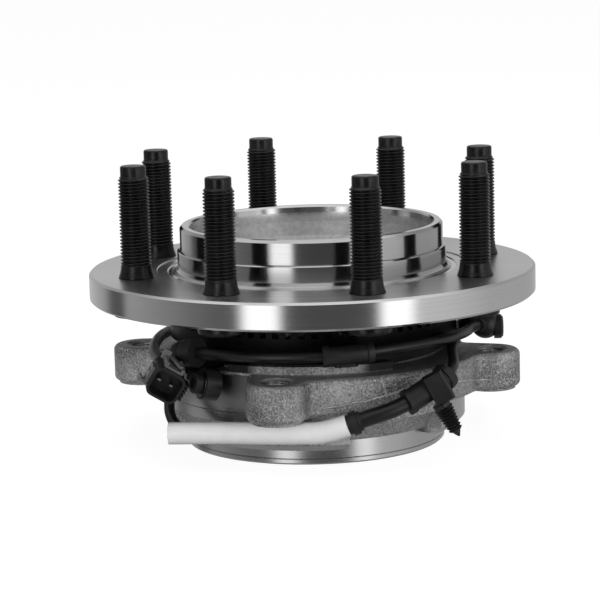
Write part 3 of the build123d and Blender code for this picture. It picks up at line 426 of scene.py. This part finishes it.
def turned_steel():
    """Turned flange and pilots, with the forged skin left inside the cup."""
    g = Graph("turned_steel")
    z = g.split()[2]
    r = g.radius()
    grooves = g.turned()
    broad = g.turned(1500.0)
    blotch = g.noise(22, 3.0, 0.5)
    forged = g.noise(420, 5.0, 0.65)
    cup = g.times(g.before(r, CUP_OUTSIDE), g.past(z, CUP_FLOOR), g.before(z, CUP_TOP))
    pilot = g.times(g.before(r, PILOT_OUTSIDE), g.past(z, PILOT_FOOT), g.past(r, PILOT_INSIDE))
    face = g.times(g.past(z, FACE_FOOT), g.before(z, PILOT_FOOT))

    tone = g.remap(g.plus(g.times(grooves, 0.6), g.times(blotch, 0.4)), 0.35, 0.65)
    color = g.mix(pilot, g.mix(tone, grey(0.56), grey(0.68)), g.mix(tone, grey(0.42), grey(0.52)))
    color = g.mix(cup, color, g.mix(g.remap(forged, 0.35, 0.65), grey(0.52), grey(0.66)))

    rough = g.blend(face, g.remap(grooves, 0.3, 0.7, 0.15, 0.20), g.remap(grooves, 0.3, 0.7, 0.26, 0.34))
    rough = g.blend(pilot, rough, 0.15)
    rough = g.blend(cup, rough, 0.52)

    turned = g.bump(grooves, 0.010, 0.35, g.bump(broad, 0.02, 0.2))
    surface = g.vector_mix(pilot, turned, g.bump(grooves, 0.002, 0.2))
    surface = g.vector_mix(cup, surface, g.bump(forged, 0.16, 0.5))
    g.round_tangent()
    return g.finish(color, rough, 1.0, surface, Anisotropic=0.55, Anisotropic_Rotation=0.25)


def metal(name, dark, light, rough_low, rough_high, scale=160, turning=False):
    g = Graph(name)
    fine = g.turned() if turning else g.noise(scale * 6, 3.0)
    blotch = g.noise(scale, 4.0)
    tone = g.plus(g.times(fine, 0.5), g.times(blotch, 0.5))
    color = g.mix(g.remap(tone, 0.35, 0.65), dark, light)
    return g.finish(color, g.remap(blotch, 0.3, 0.7, rough_low, rough_high), 1.0, g.bump(fine, 0.02, 0.5))


def plastic(name, dark, light, rough_low, rough_high, grain=0.04):
    """Moulded plastic or rubber, with a fine grain (in mm) and a little dust."""
    g = Graph(name)
    fine = g.noise(1400, 3.0)
    dust = g.noise(90, 5.0, 0.7)
    color = g.mix(g.remap(dust, 0.45, 0.75), dark, light)
    return g.finish(color, g.remap(dust, 0.3, 0.7, rough_low, rough_high), 0.0, g.bump(fine, grain, 0.5))


def assign(mat, *names):
    for name in names:
        materials = nodes[name].data.materials
        materials.clear()
        materials.append(mat)


def add_object(name, data, mat, body):
    """Adds a piece that only the scene makes, riding a body of the part."""
    o = bpy.data.objects.new(name, data)
    bpy.context.scene.collection.objects.link(o)
    data.materials.append(mat)
    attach(o, body)
    return o


def to_mesh(bm, name):
    mesh = bpy.data.meshes.new(name)
    bm.to_mesh(mesh)
    bm.free()
    return mesh


def turns_round(phase, count):
    """The azimuths, in radians, of evenly spaced places on a circle."""
    return [math.radians(phase + 360 * i / count) for i in range(count)]


def copies_round(one, name, circle, turns, spins):
    """Sets copies of a mesh on a circle round the axle line, each spun about its own axis."""
    bm = bmesh.new()
    for turn, spin in zip(turns, spins):
        place = Matrix.Translation((circle * math.cos(turn), circle * math.sin(turn), 0))
        copy = one.copy()
        copy.transform(place @ Matrix.Rotation(spin, 4, "Z"))
        bm.from_mesh(copy)
        bpy.data.meshes.remove(copy)
    return to_mesh(bm, name)


def join_rings(bm, a, b):
    for i in range(len(a)):
        j = (i + 1) % len(a)
        bm.faces.new((a[i], a[j], b[j], b[i]))


def lathe_rows(bm, rows, steps, close_ends=True):
    """Joins rows of (radius, height) rings; a row can be a function of the angle."""
    rings = []
    for row in rows:
        ring = []
        for i in range(steps):
            turn = 2 * math.pi * i / steps
            r, z = row(turn) if callable(row) else row
            ring.append(bm.verts.new((r * math.cos(turn), r * math.sin(turn), z)))
        rings.append(ring)
    for a, b in zip(rings, rings[1:]):
        join_rings(bm, a, b)
    if close_ends:
        bm.faces.new(list(reversed(rings[0])))
        bm.faces.new(rings[-1])
    return rings


def smooth_faces(bm):
    for f in bm.faces:
        f.smooth = True


def unit(value):
    return min(max(value, 0.0), 1.0)


def thread_share(z, turn, flank):
    """How far out a thread's surface is at a height and angle: 0 at its root, 1 at its crest."""
    share = (z / THREAD_PITCH - turn / (2 * math.pi)) % 1.0
    wave = 1.0 - abs(2 * share - 1.0)
    return unit((wave - flank[0]) / flank[1])


def stud_thread(z):
    """Gives one ring of a stud's thread, which fades in at its foot and narrows to the tip at its end."""
    def row(turn):
        fade = THREAD_FIRST + (1.0 - THREAD_FIRST) * unit((z - THREAD_START) / THREAD_FADE)
        cut = THREAD_DEPTH * (1.0 - thread_share(z, turn, STUD_FLANK)) * fade
        cone = TIP_RADIUS + TIP_CONE_STEP + (THREAD_END - z) * TIP_CONE_SLOPE
        return min(THREAD_RADIUS - cut - THREAD_UNDERSIZE, cone), z
    return row


def hole_thread(z):
    """Gives one ring of a hole's thread."""
    def row(turn):
        return HOLE_RADIUS - HOLE_CREST + HOLE_DEPTH * thread_share(z, turn, HOLE_FLANK), z
    return row


def thread_rows(ring_at, low, high, rows_per_turn):
    count = int((high - low) / (THREAD_PITCH / rows_per_turn))
    return [ring_at(low + (high - low) * k / count) for k in range(count + 1)]


def placed(profile, level):
    """Turns a profile in millimetres into (radius, height) in metres, counted from a level."""
    return [(r * MM, level + z * MM) for r, z in profile]


def make_studs(mat):
    """The eight studs with real threads, shown in place of the plain ones."""
    rows = placed(HEAD_PROFILE, FLANGE_BACK) + placed(COLLAR_PROFILE, FLANGE_FACE)
    rows += thread_rows(stud_thread, THREAD_START, THREAD_END, ROWS_PER_TURN)
    rows += placed(TIP_PROFILE, STUD_TOP)
    bm = bmesh.new()
    lathe_rows(bm, rows, STUD_STEPS)
    smooth_faces(bm)
    turns = turns_round(STUD_PHASE, STUD_COUNT)
    spins = [turn + STUD_SPIN * i for i, turn in enumerate(turns)]
    mesh = copies_round(to_mesh(bm, "stud"), "threaded_studs", STUD_CIRCLE, turns, spins)
    o = add_object("threaded_studs", mesh, mat, "hub")
    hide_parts("wheel_studs")


def make_hole_threads(mat):
    """The tapped holes' threads, which the solids leave as plain walls."""
    rows = thread_rows(hole_thread, HOLE_LOW, HOLE_HIGH, HOLE_ROWS_PER_TURN)
    rows += [(HOLE_RADIUS + HOLE_BITE, HOLE_HIGH), (HOLE_RADIUS + HOLE_BITE, HOLE_LOW)]
    bm = bmesh.new()
    rings = lathe_rows(bm, rows, HOLE_STEPS, close_ends=False)
    join_rings(bm, rings[-1], rings[0])
    smooth_faces(bm)
    bmesh.ops.recalc_face_normals(bm, faces=bm.faces)
    turns = turns_round(HOLE_PHASE, HOLE_COUNT)
    mesh = copies_round(to_mesh(bm, "hole_thread"), "ear_hole_threads", HOLE_CIRCLE, turns, [0.0] * HOLE_COUNT)
    add_object("ear_hole_threads", mesh, mat, "housing")


def points_between(stops):
    """Fills in the places between a mould line's stops."""
    places = []
    for (a0, z0), (a1, z1) in zip(stops, stops[1:]):
        for k in range(FLASH_STEPS):
            share = k / FLASH_STEPS
            places.append((a0 + (a1 - a0) * share, z0 + (z1 - z0) * share))
    places.append(stops[-1])
    return places


def laid_on(tree, places):
    """Finds where rays towards the axle line meet the surface, as (place, normal)."""
    path = []
    for angle, z in places:
        turn = math.radians(angle)
        out = Vector((math.cos(turn), math.sin(turn), 0))
        hit, normal, _, _ = tree.ray_cast(out * RAY_START + Vector((0, 0, z * MM)), -out)
        if hit is not None:
            path.append((hit, normal))
    return path


def ridge_rows(bm, path, width):
    """Makes one ridge's cross-sections: its width, rise and lean vary, and it dies out at both ends."""
    last = len(path) - 1
    rows = []
    for i, (hit, normal) in enumerate(path):
        along = (path[min(i + 1, last)][0] - path[max(i - 1, 0)][0]).normalized()
        across = normal.cross(along).normalized()
        ends = min(1.0, i / FLASH_ENDS, (last - i) / FLASH_ENDS)
        half = width * MM * (0.35 + 0.45 * random.random()) * ends + 0.02 * MM
        rise = 0.85 * half * (0.6 + 0.6 * random.random())
        lean = across * (half * (random.random() - 0.5) * 0.8)
        rows.append([
            bm.verts.new(hit + across * (side * half) + normal * (up * rise) + lean)
            for side, up in FLASH_SECTION
        ])
    return rows


def make_flash(mat):
    """Low uneven ridges where the halves of the mould met, laid on the outer ring's own surface."""
    tree = BVHTree.FromObject(nodes["outer_ring"], bpy.context.evaluated_depsgraph_get())
    random.seed(FLASH_SEED)
    bm = bmesh.new()
    for stops, width in FLASH_LINES:
        rows = ridge_rows(bm, laid_on(tree, points_between(stops)), width)
        for a, b in zip(rows, rows[1:]):
            join_rings(bm, a, b)
        bm.faces.new(rows[0])
        bm.faces.new(list(reversed(rows[-1])))
    bmesh.ops.recalc_face_normals(bm, faces=bm.faces)
    smooth_faces(bm)
    add_object("flash_lines", to_mesh(bm, "flash_lines"), mat, "housing")


def make_lead(mat):
    """The flexible lead, one open curve through the pieces that sit on it."""
    data = bpy.data.curves.new("sensor_lead", "CURVE")
    data.dimensions = "3D"
    spline = data.splines.new("NURBS")
    spline.points.add(len(ROUTE) - 1)
    for point, place in zip(spline.points, ROUTE):
        point.co = (place[0] * MM, place[1] * MM, place[2] * MM, 1.0)
    spline.order_u = 3
    spline.use_endpoint_u = True
    spline.resolution_u = 8
    data.bevel_depth = CABLE_RADIUS
    data.bevel_resolution = 6
    data.use_fill_caps = True
    o = add_object("sensor_lead", data, mat, "housing")
    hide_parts("harness_cable")


def make_floor():
    """A pale floor that keeps the shadow, and that the camera sees as near white."""
    bm = bmesh.new()
    bmesh.ops.create_grid(bm, x_segments=1, y_segments=1, size=FLOOR_SIZE)
    mesh = to_mesh(bm, "floor")
    o = bpy.data.objects.new("floor", mesh)
    bpy.context.scene.collection.objects.link(o)
    mat = bpy.data.materials.new("pale_floor")
    mat.use_nodes = True
    tree = mat.node_tree
    tree.nodes.clear()
    out = tree.nodes.new("ShaderNodeOutputMaterial")
    diffuse = tree.nodes.new("ShaderNodeBsdfDiffuse")
    diffuse.inputs["Color"].default_value = grey(FLOOR_SHADE)
    glow = tree.nodes.new("ShaderNodeEmission")
    glow.inputs["Color"].default_value = grey(1)
    path = tree.nodes.new("ShaderNodeLightPath")
    scale = tree.nodes.new("ShaderNodeMath")
    scale.operation = "MULTIPLY"
    tree.links.new(path.outputs["Is Camera Ray"], scale.inputs[0])
    scale.inputs[1].default_value = FLOOR_GLOW
    tree.links.new(scale.outputs[0], glow.inputs["Strength"])
    add = tree.nodes.new("ShaderNodeAddShader")
    tree.links.new(diffuse.outputs[0], add.inputs[0])
    tree.links.new(glow.outputs[0], add.inputs[1])
    tree.links.new(add.outputs[0], out.inputs["Surface"])
    mesh.materials.append(mat)
    o.visible_glossy = False


def area_light(name, azimuth, elevation, size, power):
    """A soft lamp that looks at the part, and that polished metal doesn't mirror."""
    data = bpy.data.lights.new(name, "AREA")
    data.shape = "RECTANGLE"
    data.size, data.size_y = size
    data.energy = power
    o = bpy.data.objects.new(name, data)
    bpy.context.scene.collection.objects.link(o)
    a = math.radians(azimuth)
    e = math.radians(elevation)
    way = Vector((math.sin(a) * math.cos(e), -math.cos(a) * math.cos(e), math.sin(e)))
    o.location = Vector(LAMP_TARGET) + way * LAMP_DISTANCE
    o.rotation_euler = (-way).to_track_quat("-Z", "Y").to_euler()
    o.visible_glossy = False


def make_world():
    """White for the camera, the studio's panels for reflections, and a plain level for other rays."""
    world = bpy.data.worlds.new("studio")
    bpy.context.scene.world = world
    world.use_nodes = True
    tree = world.node_tree
    tree.nodes.clear()

    def math_node(operation, a, b=0.0):
        node = tree.nodes.new("ShaderNodeMath")
        node.operation = operation
        for value, socket in ((a, node.inputs[0]), (b, node.inputs[1])):
            if isinstance(value, (int, float)):
                socket.default_value = value
            else:
                tree.links.new(value, socket)
        return node.outputs[0]

    def step(value, limits):
        node = tree.nodes.new("ShaderNodeMapRange")
        node.interpolation_type = "SMOOTHSTEP"
        tree.links.new(value, node.inputs["Value"])
        node.inputs["From Min"].default_value, node.inputs["From Max"].default_value = limits
        return node.outputs[0]

    def blend(factor, a, b):
        keep = math_node("SUBTRACT", 1.0, factor)
        return math_node("ADD", math_node("MULTIPLY", a, keep), math_node("MULTIPLY", b, factor))

    coords = tree.nodes.new("ShaderNodeTexCoord")
    parts = tree.nodes.new("ShaderNodeSeparateXYZ")
    tree.links.new(coords.outputs["Generated"], parts.inputs[0])
    x, y, z = parts.outputs
    turn = math_node("ARCTAN2", x, math_node("MULTIPLY", y, -1.0))
    share = math_node("ADD", math_node("DIVIDE", turn, 2 * math.pi), 0.5)
    ramp = tree.nodes.new("ShaderNodeValToRGB")
    stops = ramp.color_ramp.elements
    for angle, _ in PANELS[1:-1]:
        stops.new((angle + 180) / 360)
    for stop, (angle, value) in zip(stops, PANELS):
        stop.position = (angle + 180) / 360
        stop.color = grey(value / BRIGHTEST)
    tree.links.new(share, ramp.inputs[0])
    panels = math_node("MULTIPLY", ramp.outputs[0], BRIGHTEST)
    seen = blend(step(z, PANELS_TOP), panels, MIRRORED_RISE)
    seen = blend(step(z, OVERHEAD_START), seen, MIRRORED_OVERHEAD)
    seen = blend(step(math_node("MULTIPLY", z, -1.0), BELOW_START), seen, MIRRORED_BELOW)
    path = tree.nodes.new("ShaderNodeLightPath")
    strength = blend(path.outputs["Is Glossy Ray"], AMBIENT, seen)
    strength = blend(path.outputs["Is Camera Ray"], strength, BACKGROUND)
    plain = tree.nodes.new("ShaderNodeBackground")
    plain.inputs["Color"].default_value = grey(1)
    tree.links.new(strength, plain.inputs["Strength"])
    out = tree.nodes.new("ShaderNodeOutputWorld")
    tree.links.new(plain.outputs[0], out.inputs["Surface"])


def make_metals():
    assign(turned_steel(), "hub_flange")
    assign(cast_iron(), "outer_ring")
    # The mould lines' ridges are real; their light colour is a painted highlight along them.
    make_flash(metal("flash_iron_painted_highlight", grey(0.45), grey(0.90), 0.34, 0.50, scale=700))
    make_studs(metal("black_oxide_steel", grey(0.028), grey(0.055), 0.26, 0.40))
    make_hole_threads(metal("thread_steel", grey(0.50), grey(0.66), 0.14, 0.22))
    assign(metal("stamped_steel", grey(0.010), grey(0.020), 0.40, 0.52, turning=True), "tone_ring")
    assign(
        metal("bearing_steel", grey(0.5), grey(0.62), 0.15, 0.25, turning=True),
        "inner_ring_outboard", "inner_ring_inboard", "outboard_rollers", "inboard_rollers"
    )
    assign(metal("cage_steel", grey(0.2), grey(0.3), 0.35, 0.45), "outboard_cage", "inboard_cage")
    assign(
        metal("seal_steel", grey(0.10), grey(0.16), 0.3, 0.4, turning=True),
        "outboard_seal_case", "inboard_seal_case", "outboard_slinger", "inboard_slinger"
    )
    assign(
        metal("plated_steel", grey(0.030), grey(0.055), 0.38, 0.48), "sensor_carrier_ring", "sensor_screw"
    )
    assign(metal("brass", (0.085, 0.078, 0.066, 1), (0.13, 0.12, 0.10, 1), 0.25, 0.35), "brass_bushing")
    assign(metal("pin_metal", (0.36, 0.35, 0.32, 1), (0.50, 0.48, 0.44, 1), 0.25, 0.35), "connector_pins")


def make_plastics(lead_rubber):
    assign(lead_rubber, "cable_stiffener")
    assign(
        plastic("seal_rubber", grey(0.012), grey(0.022), 0.5, 0.6),
        "outboard_seal_lip", "inboard_seal_lip", "sensor_o_ring"
    )
    assign(plastic("sensor_plastic", grey(0.010), grey(0.020), 0.34, 0.46), "wheel_speed_sensor")
    assign(
        plastic("clip_plastic", grey(0.007), grey(0.015), 0.34, 0.48),
        "cable_sleeve_clip", "bracket_eyelet", "fir_tree_clip"
    )
    assign(
        plastic("grommet_rubber", grey(0.006), grey(0.012), 0.44, 0.58),
        "left_grommet", "clip_grommet", "retainer_band", "eyelet_nose"
    )
    assign(
        plastic("white_sleeve", grey(0.66), grey(0.72), 0.38, 0.50, grain=0.02), "protective_sleeve"
    )
    assign(plastic("connector_plastic", grey(0.007), grey(0.014), 0.32, 0.46), "connector_housing")
    assign(plastic("connector_grey", grey(0.085), grey(0.14), 0.32, 0.46), "connector_lock")


def main():
    bpy.context.scene.view_settings.view_transform = "Standard"
    make_camera()
    lead_rubber = plastic("lead_rubber", grey(0.004), grey(0.009), 0.30, 0.40)
    make_lead(lead_rubber)
    make_floor()
    make_world()
    for lamp in LAMPS:
        area_light(*lamp)
    make_metals()
    make_plastics(lead_rubber)
    for o in nodes.values():
        for polygon in o.data.polygons:
            polygon.use_smooth = True


main()
